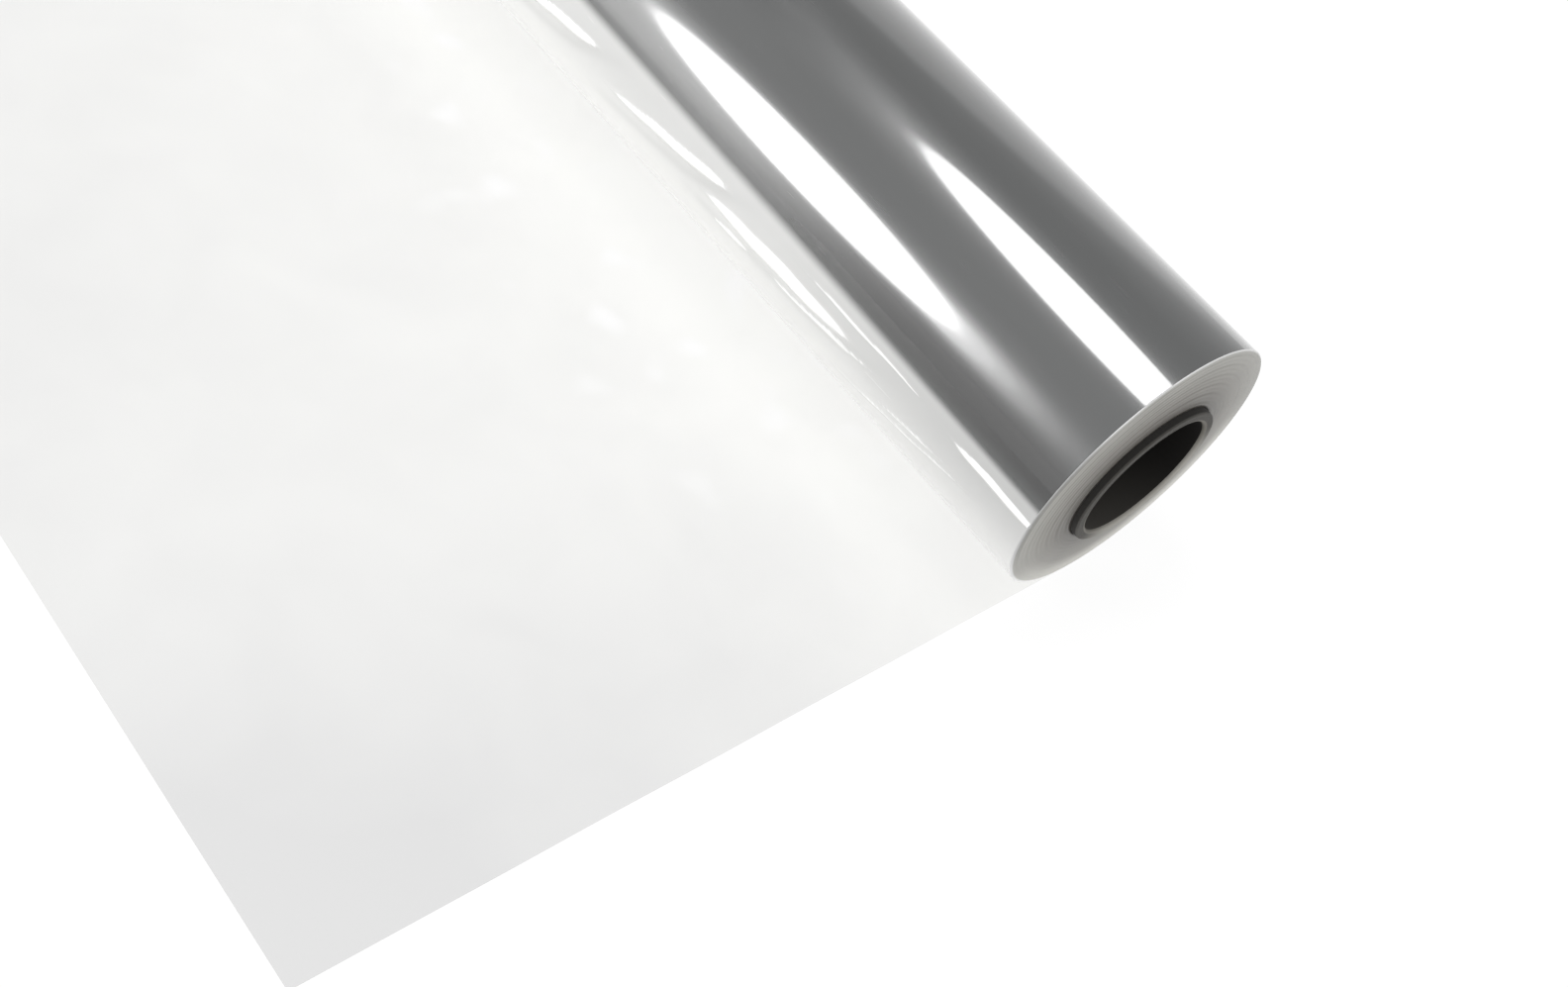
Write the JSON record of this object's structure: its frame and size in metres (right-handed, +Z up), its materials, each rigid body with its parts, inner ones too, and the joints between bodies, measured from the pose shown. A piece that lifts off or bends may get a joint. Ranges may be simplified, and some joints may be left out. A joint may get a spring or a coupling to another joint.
{
  "type": "cellophane roll",
  "caption": "Roll of clear wrapping film wound on a dark tube, lying on its side with a flat leaf of film drawn off from under it.",
  "frame": {"origin": "on the floor, under the roll's axis and midway along it, in the middle of the flat spot that the roll rests on", "axes": "+X along the roll, +Z up, and the leaf of film lies towards -Y"},
  "size_m": [0.4042, 0.2, 0.0598],
  "materials": {
    "film": "clear glossy film, silvery grey where it is wound",
    "tube": "dark smooth paperboard"
  },
  "bodies": {
    "root": {"film": "film", "core_tube": "tube"}
  },
  "joints": []
}
